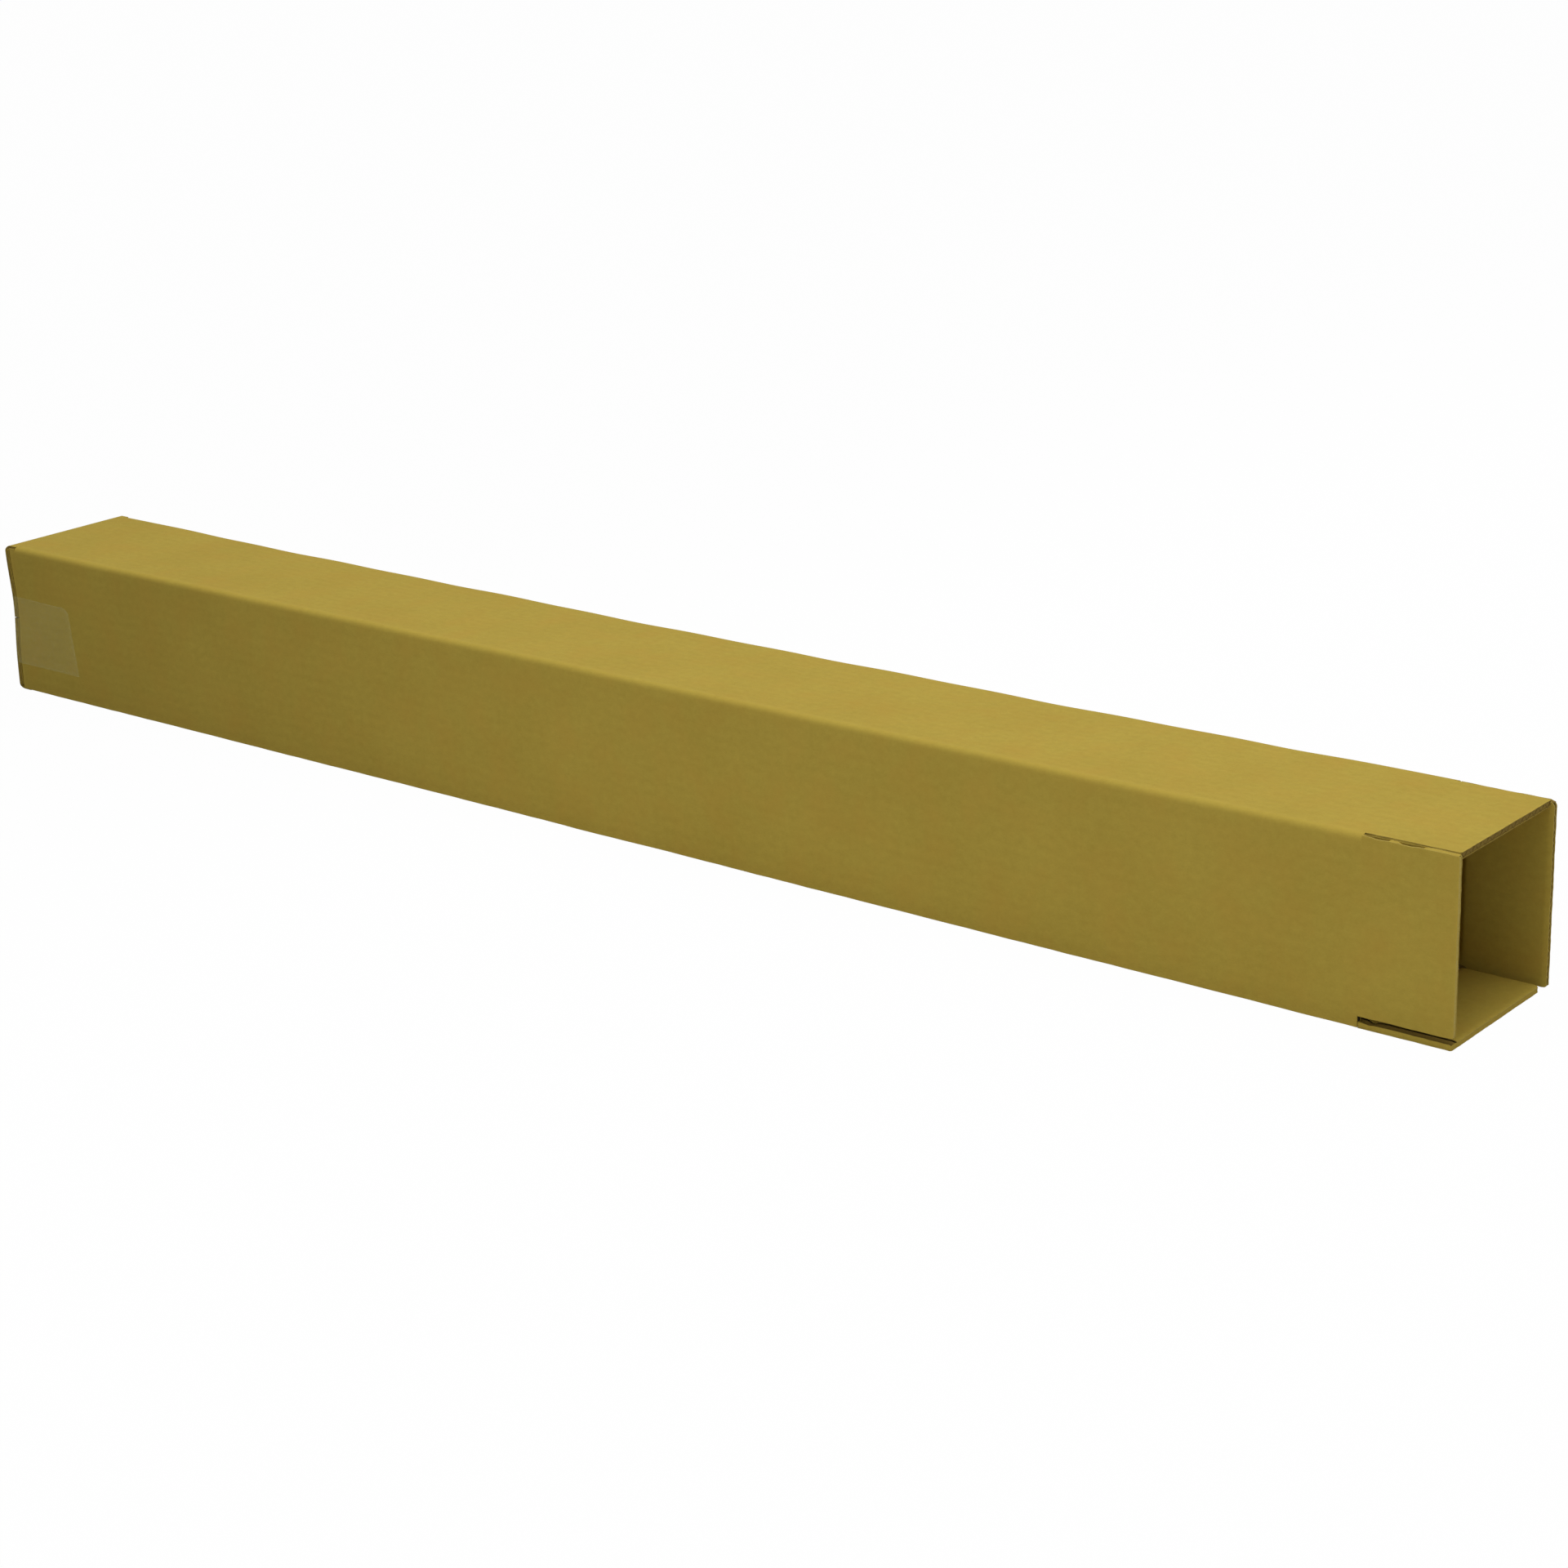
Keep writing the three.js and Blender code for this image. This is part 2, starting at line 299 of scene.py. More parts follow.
class SheetBuilder:
    """Collects sheets of board or paper, each a grid with an outer and an inner face."""

    def __init__(self):
        self.points, self.blank, self.wear = [], [], []
        self.faces, self.slots = [], []
        self.count = 0

    def add(self, outer, inner, blank, wear, cells=None, slots=(0, 1, 2)):
        """outer and inner are grids of points, and blank is each one's place in the flat sheet.
        slots are the materials of the faces, of the cuts across and of the cuts along."""
        columns, rows = outer.shape[:2]
        if cells is None:
            cells = np.ones((columns - 1, rows - 1), bool)
        for depth, skin in enumerate((outer, inner)):
            layer = np.full((columns, rows), float(depth))
            self.points.append(skin.reshape(-1, 3))
            self.blank.append(np.dstack([blank, layer]).reshape(-1, 3))
            self.wear.append(wear.reshape(-1))
        index = np.arange(columns * rows).reshape(columns, rows) + self.count
        below = index + columns * rows
        self.count += 2 * columns * rows
        held = np.pad(cells, 1)
        for i, j in zip(*np.nonzero(cells)):
            a, b, c, d = index[i, j], index[i + 1, j], index[i + 1, j + 1], index[i, j + 1]
            e, f, g, h = below[i, j], below[i + 1, j], below[i + 1, j + 1], below[i, j + 1]
            self._face((a, d, c, b), slots[0])
            self._face((e, f, g, h), slots[0])
            if not held[i, j + 1]:
                self._face((a, e, h, d), slots[1])
            if not held[i + 2, j + 1]:
                self._face((b, c, g, f), slots[1])
            if not held[i + 1, j]:
                self._face((a, b, f, e), slots[2])
            if not held[i + 1, j + 2]:
                self._face((d, h, g, c), slots[2])

    def _face(self, corners, slot):
        self.faces.append([int(corner) for corner in corners])
        self.slots.append(slot)

    def object(self, name, materials):
        """The finished mesh, with the points that meet in an inner crease joined."""
        mesh = bpy.data.meshes.new(name)
        mesh.from_pydata(np.vstack(self.points).tolist(), [], self.faces)
        mesh.polygons.foreach_set("material_index", np.array(self.slots, np.int32))
        blank = mesh.attributes.new("blank", "FLOAT_VECTOR", "POINT").data
        blank.foreach_set("vector", np.vstack(self.blank).astype(np.float32).ravel())
        wear = mesh.attributes.new("wear", "FLOAT", "POINT").data
        wear.foreach_set("value", np.concatenate(self.wear).astype(np.float32))
        for material in materials:
            mesh.materials.append(material)
        tidy_mesh(mesh)
        return placed(name, mesh)


def placed(name, data):
    """A new object in the scene."""
    made = bpy.data.objects.new(name, data)
    bpy.context.scene.collection.objects.link(made)
    return made


def tidy_mesh(mesh):
    """Drops unused points, joins those in one place, and shades all but the sharp edges smooth."""
    edit = bmesh.new()
    edit.from_mesh(mesh)
    loose = [vertex for vertex in edit.verts if not vertex.link_faces]
    bmesh.ops.delete(edit, geom=loose, context="VERTS")
    bmesh.ops.remove_doubles(edit, verts=edit.verts, dist=1e-6)
    bmesh.ops.recalc_face_normals(edit, faces=edit.faces)
    edit.to_mesh(mesh)
    edit.free()
    mesh.polygons.foreach_set("use_smooth", np.ones(len(mesh.polygons), bool))
    mesh.set_sharp_from_angle(angle=math.radians(35))
    mesh.update()


def settled(points):
    """The same points on the real, slightly slack box: panels bow in, the top back fold sags,
    the folds wander, and the tape has drawn the closed end in."""
    sizes = bpy.context.scene.carton_board
    moved = np.array(points, float)
    x, y, z = moved[..., 0], moved[..., 1], moved[..., 2]
    from_low = z / HEIGHT
    from_front = y / WIDTH + 0.5
    slack = smooth_step(x, *SLACK_STARTS) * (1 - smooth_step(x, *SLACK_ENDS))
    reach = np.clip((x - CLOSED_FACE) / (INNER_SCORE - CLOSED_FACE), 0, 1)
    sag = sizes.sag * np.sin(math.pi * reach) ** 1.15 * slack

    sideways = smooth_step(abs(y), *ON_PANEL) * np.sin(math.pi * from_low.clip(0, 1))
    upright = smooth_step(abs(z - HEIGHT / 2), *ON_PANEL)
    upright = upright * np.sin(math.pi * from_front.clip(0, 1))
    bow = sizes.pillow * slack
    slow = (0.61, 0.27, 0.143)
    shift_y = -np.sign(y) * bow * sideways * (0.65 + 0.35 * wander(x, slow, 2.1))
    shift_z = -np.sign(z - HEIGHT / 2) * bow * upright * (0.65 + 0.35 * wander(x, slow, 0.4))
    shift_z = shift_z - sag * from_low * from_front

    # Three of the long folds: whether each is a low one and a front one, and its wave's phase
    waver = 0.5 * sizes.fold_waver * slack
    for low_side, front_side, phase in ((0, 1, 0.3), (0, 0, 1.9), (1, 0, 3.1)):
        near_z = 1 - from_low if low_side else from_low
        near_y = 1 - from_front if front_side else from_front
        nearness = smooth_step(near_z, 0.55, 1.0) * smooth_step(near_y, 0.55, 1.0)
        amount = waver * nearness * (1 + wander(x, (0.33, 0.171, 0.083), phase))
        shift_y = shift_y + (amount if front_side else -amount)
        shift_z = shift_z + (amount if low_side else -amount)

    end = 1 - smooth_step(x, CLOSED_FACE + 3 * MM, CLOSED_FACE + 45 * MM)
    dish = sizes.dish * end * (
        np.cos(math.pi * y / WIDTH).clip(0, 1) * np.cos(math.pi * (from_low - 0.5)).clip(0, 1)
    )
    # Under the tape's laps the panels are drawn in too
    gather = smooth_step(abs(y), 34 * MM, 54 * MM) * bell(z, 64 * MM, 27 * MM)
    gather = gather * (1 - smooth_step(x, CLOSED_FACE, CLOSED_FACE + 60 * MM))
    shift_y = shift_y - np.sign(y) * 1.5 * sizes.dish * gather
    dish = dish + sizes.dish * gather
    moved[..., 0] = x + dish
    moved[..., 1] = y + shift_y
    moved[..., 2] = z + shift_z
    return moved


def tube_rows():
    """The rows that run the length of the tube, in the order of the flat sheet: up the glue tab
    backwards, along the bottom, the back, the top and down the front to its raw edge."""
    sizes = bpy.context.scene.carton_board
    board = sizes.thickness
    edge = WIDTH / 2
    inside = edge - board
    roof = HEIGHT - board
    tab_face = -inside + sizes.glue_gap
    tab_radius = sizes.tab_fold_radius
    radius = sizes.fold_radius
    outer, zones = [(tab_face, sizes.tab_height)], []

    def line(to, zone):
        start = np.array(outer[-1])
        end = np.array(to)
        count = max(1, math.ceil(np.linalg.norm(end - start) / ROW_STEP - 1e-6))
        outer.extend(tuple(start + (end - start) * k / count) for k in range(1, count + 1))
        zones.extend([zone] * count)

    def arc(centre, size, start):
        for k in range(1, FOLD_STEPS + 1):
            angle = math.radians(start + 90 * k / FOLD_STEPS)
            outer.append((centre[0] + size * math.cos(angle), centre[1] + size * math.sin(angle)))
            zones.append("fold")

    bottom, back, top, front = (SIDES[name] for name in ("bottom", "back", "top", "front"))
    line((tab_face, board), "tab")
    line((tab_face, tab_radius), "fold")
    arc((tab_face + tab_radius, tab_radius), tab_radius, 180)
    line((-bottom.low, 0), "bottom")
    line((inside, 0), "fold")
    arc((inside, radius), radius, 270)
    line((edge, HEIGHT / 2 - back.high), "fold")
    line((edge, HEIGHT / 2 - back.low), "back")
    line((edge, roof), "fold")
    arc((inside, roof), radius, 0)
    turned = len(outer)
    line((top.high, HEIGHT), "fold")
    line((top.low, HEIGHT), "top")
    line((-inside, HEIGHT), "fold")
    arc((-inside, roof), radius, 90)
    line((-edge, HEIGHT / 2 + front.high), "fold")
    line((-edge, HEIGHT / 2 + front.low), "front")
    line((-edge, sizes.raw_edge), "fold")

    outer = np.array(outer)
    inner = outer.copy()
    inner[:turned, 0] = outer[:turned, 0].clip(tab_face + board, inside)
    inner[:turned, 1] = outer[:turned, 1].clip(board, roof)
    inner[turned:, 0] = outer[turned:, 0].clip(-inside, inside)
    inner[turned:, 1] = outer[turned:, 1].clip(0, roof)
    return outer, inner, zones


def sheet_place(outer):
    """How far round the flat sheet each row lies."""
    steps = np.linalg.norm(np.diff(outer, axis=0), axis=1)
    return np.concatenate([[0.0], np.cumsum(steps)])


def closed_flap_path(side):
    """From a slot's root over the far score and down to the free edge: where along the box and
    how deep below the side's face the outer and the inner face lie."""
    sizes = bpy.context.scene.carton_board
    board = sizes.thickness
    radius = sizes.fold_radius if side.outer else sizes.tight_radius
    face = CLOSED_FACE if side.outer else INNER_SCORE_FAR
    length = side.rise - MEETING_GAP / 2
    bend = face + radius
    outer = [(SLOT_ROOT_FAR - SLIT, 0.0), ((SLOT_ROOT_FAR + bend) / 2, 0.0), (bend, 0.0)]
    for k in range(1, FOLD_STEPS + 1):
        angle = math.radians(90 * k / FOLD_STEPS)
        outer.append((bend - radius * math.sin(angle), radius * (1 - math.cos(angle))))
    outer += [(face, radius + (length - radius) * k / 8) for k in range(1, 9)]
    outer = np.array(outer)
    inner = np.column_stack(
        [np.maximum(outer[:, 0], face + board), np.maximum(outer[:, 1], board)]
    )
    return outer, inner


def lay_closed_flaps(skins, outer, zones, far_count):
    """Bends the sheet's first columns over the far scores, the flaps' free edges first."""
    for name, side in SIDES.items():
        rows = [j for j, zone in enumerate(zones) if zone == name]
        rows.append(rows[-1] + 1)
        across = (outer[rows] - [0, HEIGHT / 2]) @ side.across[1:]
        spread = side.span / 2 - CLOSED_INSET
        for skin, path in zip(skins, closed_flap_path(side)):
            for k, (x, depth) in enumerate(path):
                if side.outer:
                    # Over the rounded fold the strip is a little narrower than on the end
                    narrow = 1.5 * MM * (1 - smooth_step(k, 2, 8))
                    across[0] = spread - narrow
                    across[-1] = narrow - spread
                else:
                    # It reaches the corners up to its fold, and is clear of the others inside
                    wide = 1 - smooth_step(k, 4, 9)
                    corner = spread - INNER_CLEARANCE
                    across[0] = side.high + (corner - side.high) * wide
                    across[-1] = side.low - (corner + side.low) * wide
                along, deep = np.full(len(rows), x), np.full(len(rows), depth)
                skin[far_count - 1 - k][rows] = side.point(along, across, deep)


def fray_edges(skins, around, zones):
    """Makes the sheet's cut edges uneven: the front panel's raw edge, which is also lifted at
    the far half and pressed down in two places, and the free edges of the closed flaps."""
    ragged = bpy.context.scene.carton_board.ragged
    uneven = ragged * wander(around, (0.045, 0.013, 0.0067), 2.4)
    for skin in skins:
        x = skin[:, -1, 0]
        pressed = sum(amount * bell(x, place, width) for place, width, amount in PRESSED)
        lifted = RAW_LIFT * (1 - smooth_step(x, *RAW_LIFT_ENDS))
        skin[:, -1, 2] += ragged * wander(x, (0.21, 0.047, 0.019), 0.8)
        skin[:, -1, 2] += lifted - RAW_PRESS * pressed
        for name, side in SIDES.items():
            rows = [j for j, zone in enumerate(zones) if zone == name][1:]
            skin[0][rows] -= uneven[rows][:, None] * side.normal


def folded_sheet():
    """The four panels, the glue tab and the four closed flaps, as one sheet of board."""
    sizes = bpy.context.scene.carton_board
    outer, inner, zones = tube_rows()
    around = sheet_place(outer)
    row_count = len(outer)

    joint_lines = {name: side.score - JOINT_SETBACK for name, side in SIDES.items()}
    tab_low = INNER_SCORE_FAR + sizes.thickness + sizes.tab_inset
    tab_high = INNER_SCORE - sizes.thickness - sizes.tab_inset
    stops = [SLOT_ROOT_FAR, tab_low, tab_high, SLOT_ROOT_NEAR, *joint_lines.values()]
    stations = through(stops, STATION_STEP)
    path = closed_flap_path(SIDES["top"])[0]
    far_count = len(path)
    columns = far_count + len(stations)
    skins = []
    for profile in (outer, inner):
        skin = np.zeros((columns, row_count, 3))
        skin[:, :, 0] = np.concatenate([np.full(far_count, SLOT_ROOT_FAR), stations])[:, None]
        skin[:, :, 1:] = profile
        skins.append(skin)

    # The tab tapers towards its top edge
    tab_rows = zones.index("fold")
    rise = (outer[:tab_rows, 1] - sizes.thickness) / (sizes.tab_height - sizes.thickness)
    middle, half = (tab_low + tab_high) / 2, (tab_high - tab_low) / 2
    for skin in skins:
        offset = skin[far_count:, :tab_rows, 0] - middle
        skin[far_count:, :tab_rows, 0] = middle + offset * (1 - rise * sizes.tab_taper / half)

    lay_closed_flaps(skins, outer, zones, far_count)
    fray_edges(skins, around, zones)

    # The slots, and the room that the open flaps' own pieces take, are left out of the grid
    cells = np.zeros((columns - 1, row_count - 1), bool)
    edges = np.concatenate([np.full(far_count, -np.inf), stations])
    for j, zone in enumerate(zones):
        low, high = SLOT_ROOT_FAR, SLOT_ROOT_NEAR
        if zone == "tab":
            low, high = tab_low, tab_high
        elif zone in SIDES:
            low, high = -np.inf, joint_lines[zone]
        cells[:, j] = (edges[:-1] >= low - 1e-9) & (edges[1:] <= high + 1e-9)
    cells[far_count - 1] &= [zone in SIDES for zone in zones]

    # Folds and the raw edge are scuffed
    travel = sheet_place(np.vstack([[SLOT_ROOT_FAR, 0], path]))[1:]
    along = np.concatenate([(SLOT_ROOT_FAR - travel)[::-1], stations])
    wear = np.zeros((columns, row_count))
    for start in fold_starts(zones):
        place = 0.5 * (around[start] + around[start + FOLD_STEPS])
        wear += bell(around[None, :], place, 4.5 * MM)
    wear += 0.8 * bell(along[:, None], SLOT_ROOT_FAR - 10 * MM, 6 * MM)
    wear += 0.6 * np.exp(-np.abs(around[None, :] - around[-1]) / (2.5 * MM))
    blank = np.dstack(np.meshgrid(along, around, indexing="ij"))
    builder = SheetBuilder()
    builder.add(settled(skins[0]), settled(skins[1]), blank, wear.clip(0, 1), cells)
    return builder


def fold_starts(zones):
    """The first row of each rounded fold: where that many cells of fold follow each other."""
    starts = []
    for j in range(len(zones) - FOLD_STEPS):
        run = zones[j : j + FOLD_STEPS] == ["fold"] * FOLD_STEPS
        if run and (not starts or j - starts[-1] > FOLD_STEPS + 2):
            starts.append(j)
    return starts


def side_start(side):
    """The place round the flat sheet of the side's own zero, so that patterns run on."""
    outer, _, zones = tube_rows()
    around = sheet_place(outer)
    first = zones.index(side.name)
    return around[first] + side.high


def flap_edges(side, x):
    """How far across an open flap reaches at each place along it. Past the slots the inner
    flaps and the front of the bottom flap spread to the full corner, as cut, and the back of
    the bottom flap narrows from its root."""
    sizes = bpy.context.scene.carton_board
    full = side.span / 2 - 0.5 * MM
    wider = {"front": 1 * MM, "top": 0.2 * MM}.get(side.name, 0.0)
    low = 0.9 * MM - full if side.name == "back" else side.low - wider
    high = {"front": full, "back": full, "bottom": full}.get(side.name, side.high)
    if side.name == "bottom":
        root = sizes.thickness + ROOT_GAP - side.span / 2
        low = root + (low - root) * smooth_step(x, *ROOT_NARROWS)
    past = smooth_step(x, SLOT_ROOT_NEAR, SLOT_ROOT_NEAR + SLIT)
    return side.low + (low - side.low) * past, side.high + (high - side.high) * past


def thickness_profile(side, x, across):
    """How deep the outer and the inner face of an open flap lie, at each place. The score
    crushes the board from inside, and the cut edges are pinched a little."""
    sizes = bpy.context.scene.carton_board
    low, high = flap_edges(side, x)
    groove = bell(x, side.score, 2.3 * MM)
    soft = bell(x, side.score, 5.0 * MM)
    if side.name in ("back", "bottom"):
        # The scoring wheel stops short of the slots at the bottom corners
        to_corner = high - across
        if side.name == "bottom":
            to_corner = np.minimum(to_corner, across - low)
        groove = groove * (1 - 0.85 * bell(to_corner, 0, 7 * MM))
    to_side = np.minimum(across - low, high - across)
    to_end = side.free_end - x + 0.4 * MM
    lump = 0.5 + 0.5 * wander(x * 1.7 + across, (0.031, 0.0127, 0.0071), 1.2 + side.score)
    pinch = bell(to_side, 0, 1.6 * MM) * (1 - soft) * lump
    ended = bell(to_end, 0, 2.2 * MM) * (0.7 + 0.3 * lump) * side.pinch
    outer = 0.10 * MM * groove + 0.06 * MM * soft + 0.14 * MM * pinch + 0.1 * ended
    squeeze = sizes.thickness - sizes.crease - 0.16 * MM
    inner = sizes.thickness - squeeze * groove - 0.35 * MM * soft - 0.3 * MM * pinch - ended
    return outer, inner


class OpenFlap:
    """A flap of the open end with the strip of panel that it hinges on: two liners, the waved
    sheet between them, and the crushed fibres that close its channels."""

    def __init__(self, side):
        self.side = side
        self.sizes = bpy.context.scene.carton_board
        self.builder = SheetBuilder()
        self.origin = side_start(side)
        self.end = side.free_end - (self.sizes.outer_trim if side.outer else 0.0)
        self.lowest, self.highest = flap_edges(side, self.end)
        bend_low, bend_high = side.score - 5 * MM, side.score + 5 * MM
        rim = self.end - 4 * MM
        parts = (
            through([side.score - JOINT_SETBACK, bend_low], 2.2 * MM)[:-1],
            through([bend_low, SLOT_ROOT_NEAR, SLOT_ROOT_NEAR + SLIT, bend_high], 0.7 * MM),
            through([bend_high, rim], 4.5 * MM)[1:],
            through([rim, self.end], 1 * MM)[1:],
        )
        self.x = np.concatenate(parts)

    def torn(self, along):
        """How much of the front flap's upper edge is torn open, 0 to 1."""
        if self.side.name != "front":
            return 0 * along
        return sum(bell(along, place, width) for place, width in TORN_PLACES)

    def grid(self, across):
        """Places along and across, with the free edge and the cut sides a little uneven."""
        side, ragged = self.side, self.sizes.ragged
        along, over = np.meshgrid(self.x, across, indexing="ij")
        low, high = flap_edges(side, along)
        over = np.clip(over, low, high)
        phase = 1.0 + 0.7 * list(SIDES).index(side.name)
        pushed = ragged * (wander(over, (0.037, 0.0113, 0.0052), phase) - 1)
        for corner, radius in zip((over - low, high - over), side.corners):
            short = (1 - corner / radius).clip(0, 1)
            pushed = pushed - radius * (1 - np.sqrt(1 - short * short))
        free = smooth_step(along, side.score + 2 * MM, side.score + 12 * MM)
        trim = ragged * (1 + wander(along, (0.041, 0.017), phase + 1)) * free
        torn = TORN_DEPTH * self.torn(along) * smooth_step(over, high - 3 * MM, high)
        from_middle = (over - low) / (high - low) - 0.5
        reach = smooth_step(along, self.end - 6 * MM, self.end)
        return along + reach * pushed, over - 2 * from_middle * trim - torn

    def add(self, faces, along, over, wear, slots):
        """Adds a sheet given by its two faces, and by its place in the blank."""
        blank = np.dstack([along, self.origin - over])
        self.builder.add(*faces, blank, wear, slots=slots)

    def ply(self, along, over, near, far, slots):
        """Adds a sheet between two depths below the side's face, worn at its edges and score."""
        low, high = flap_edges(self.side, along)
        to_edge = np.minimum(over - low, high - over)
        to_edge = np.minimum(to_edge, self.end - along).clip(0, None)
        creased = 0.3 * bell(along, self.side.score, 2.6 * MM)
        wear = (creased + 0.8 * np.exp(-to_edge / (1.6 * MM))).clip(0, 1)
        faces = [self.side.point(along, over, depth) for depth in (near, far)]
        self.add(faces, along, over, wear, slots)

    def liners(self, slots):
        rim = 5 * MM
        parts = (
            through([self.lowest, self.lowest + rim], 0.8 * MM)[:-1],
            through([self.lowest + rim, self.highest - rim], 2.4 * MM),
            through([self.highest - rim, self.highest], 0.8 * MM)[1:],
        )
        across = np.concatenate(parts)
        along, over = self.grid(across)
        outer, inner = thickness_profile(self.side, along, over)
        self.ply(along, over, outer, outer + self.sizes.liner, slots)
        if self.side.name == "bottom":
            # Its inner liner ends short along the joint's slot, so the waved sheet shows under the
            # front flap: partly real shade in its open channels, partly painted shade from the
            # medium's darker colour
            along, over = self.grid(np.minimum(across, self.highest - LINER_GAP_FOR_SHADE))
            _, inner = thickness_profile(self.side, along, over)
        self.ply(along, over, inner - self.sizes.liner, inner, slots)

    def between_liners(self, along, across, heights):
        """Depths from one liner, at height 0, to the other, at height 1."""
        outer, inner = thickness_profile(self.side, along, across)
        return (outer + self.sizes.liner) + heights * (inner - outer - 2 * self.sizes.liner)

    def side_walls(self):
        """The wave's wall that closes each side edge, a little way in, and further in where torn."""
        side, medium = self.side, self.sizes.medium
        along, heights = np.meshgrid(self.x, np.linspace(0, 1, 4), indexing="ij")
        short = np.minimum(along, self.end - 0.6 * MM)
        bulge = np.sin(math.pi * heights) * 0.3 * MM
        for edge in (-1, 1):
            low, high = flap_edges(side, along)
            uneven = wander(along, (0.023, 0.0091), 3 * edge + side.score)
            flush = edge == side.flush_edge
            set_back = (0.2 + 0.12 * uneven if flush else 0.55 + 0.3 * uneven) * MM
            if edge > 0:
                set_back = set_back + TORN_REACH * self.torn(along)
            line = high - set_back if edge > 0 else low + set_back
            depth = self.between_liners(along, high if edge > 0 else low, heights)
            faces = [side.point(short, line + bulge * edge - edge * k * medium, depth) for k in (0, 1)]
            slot = LINER if flush else MEDIUM
            self.add(faces, short, line, np.zeros(short.shape), (slot, slot, slot))

    def end_wall(self):
        """The crushed fibres that close the channels, a little way in from the free edge. On the top
        flap they take the darker medium finish as painted shade.
        """
        across = through([self.lowest + 0.4 * MM, self.highest - 0.4 * MM], 2.4 * MM)
        along, over = (np.repeat(places[-1][:, None], 4, axis=1) for places in self.grid(across))
        depth = self.between_liners(along, over, np.linspace(0, 1, 4))
        along = along - self.side.fibres_in
        faces = [self.side.point(along - k * self.sizes.medium, over, depth) for k in (0, 1)]
        slot = self.side.fibres
        self.add(faces, along, over, np.zeros(along.shape), (slot, slot, slot))

    def wave(self, slots):
        """The waved sheet. Its crests touch the liners, also where the board is crushed."""
        side, sizes = self.side, self.sizes
        inset = 0.15 * MM
        across = through([self.lowest + inset, self.highest - inset], sizes.flute / 12)
        along, over = self.grid(across)
        outer, inner = thickness_profile(side, along, over)
        phase = 2 * math.pi * (over - (side.low + side.high) / 2) / sizes.flute
        room = (inner - outer) / 2 - sizes.liner - sizes.medium / 2 - 0.01 * MM
        swing = np.maximum(room, 0.02 * MM)
        slope = 2 * math.pi * swing * np.sin(phase) / sizes.flute
        half = sizes.medium / 2 * np.sqrt(1 + slope * slope)
        middle = (outer + inner) / 2 + swing * np.cos(phase)
        along[-1] -= 0.25 * MM
        self.ply(along, over, middle - half, middle + half, slots)

    def build(self):
        """Makes each sheet of the flap, ready to become one object."""
        # The top flap's cut edges take the darker medium finish instead of pale cut paper: painted
        # shade along its free edge
        cut = MEDIUM if self.side.name == "top" else CUT
        self.liners((LINER, cut, CUT))
        self.side_walls()
        self.end_wall()
        self.wave((MEDIUM, cut, CUT))
        return self.builder


def tape_skin(side_reach, distance):
    """The tape's path over the closed end, seen from above, at a distance out from the board.
    side_reach is how far it laps on to the front panel."""
    sizes = bpy.context.scene.carton_board
    radius = sizes.tight_radius
    half_width = WIDTH / 2
    bend = np.array([INNER_SCORE_FAR + radius, -half_width + radius])
    corner = np.array([CLOSED_FACE, -half_width + CLOSED_INSET])
    to_corner = corner - bend
    span = np.linalg.norm(to_corner)
    turn = (math.atan2(to_corner[1], to_corner[0]) + math.acos(radius / span)) % (2 * math.pi)

    def lap(reach):
        stops = np.linspace(CLOSED_FACE + reach, bend[0], 15)[:-1]
        return [(x, -half_width - distance) for x in stops]

    def round_corner(centre, size, first, last, steps):
        angles = [first + (last - first) * step / steps for step in range(steps + 1)]
        return [tuple(centre + size * np.array([math.cos(a), math.sin(a)])) for a in angles]

    def corner_turn():
        """Round the inner flap's fold, then straight to the outer flaps' corner and round it."""
        fold = round_corner(bend, radius + distance, 1.5 * math.pi, turn, 6)
        return fold + round_corner(corner, distance, turn, math.pi, 4)

    front = lap(side_reach) + corner_turn()
    back_reach = bpy.context.scene.carton_tape.wrap_back
    back = [(x, -y) for x, y in (lap(back_reach) + corner_turn())[::-1]]
    face = [(CLOSED_FACE - distance, y) for y in np.linspace(front[-1][1], back[0][1], 22)[1:-1]]
    return np.array(front + face + back)


def tape_sheet():
    """The tape, its torn front end slanted with a rounded upper corner."""
    look = bpy.context.scene.carton_tape
    low, high = TAPE_LOW.z, TAPE_HIGH.z
    heights = np.concatenate(
        [np.linspace(low, high - look.corner, 12)[:-1], np.linspace(high - look.corner, high, 7)]
    )
    skins = []
    for distance in (look.gap + look.thickness, look.gap):
        columns = []
        for z in heights:
            share = (z - low) / (high - low)
            reach = look.wrap_bottom + (look.wrap_top - look.wrap_bottom) * share
            past = max(0.0, z - (high - look.corner)) / look.corner
            reach -= look.corner * (1 - math.sqrt(max(0.0, 1 - past * past)))
            reach += 0.25 * MM * wander(z, (0.011, 0.0043), 0.9)
            path = tape_skin(reach, distance)
            columns.append(np.column_stack([path, np.full(len(path), z)]))
        skins.append(np.array(columns).transpose(1, 0, 2))
    seam = bell(heights, HEIGHT / 2, 3.4 * MM)
    for skin in skins:
        on_face = 1 - smooth_step(np.abs(skin[:, :, 1]), 44 * MM, 50 * MM)
        on_end = skin[:, :, 0] < CLOSED_FACE + 0.5 * MM
        skin[:, :, 0] += look.seam_dip * on_face * on_end * seam[None, :]
    run = sheet_place(skins[0][:, 0, :])
    blank = np.dstack(np.meshgrid(run, heights, indexing="ij"))
    to_side = np.minimum(heights - low, high - heights)[None, :]
    to_end = np.minimum(run, run[-1] - run)[:, None]
    edge = np.exp(-np.minimum(to_side, to_end) / (1.1 * MM))
    builder = SheetBuilder()
    builder.add(settled(skins[0]), settled(skins[1]), blank, edge, slots=(0, 0, 0))
    return builder


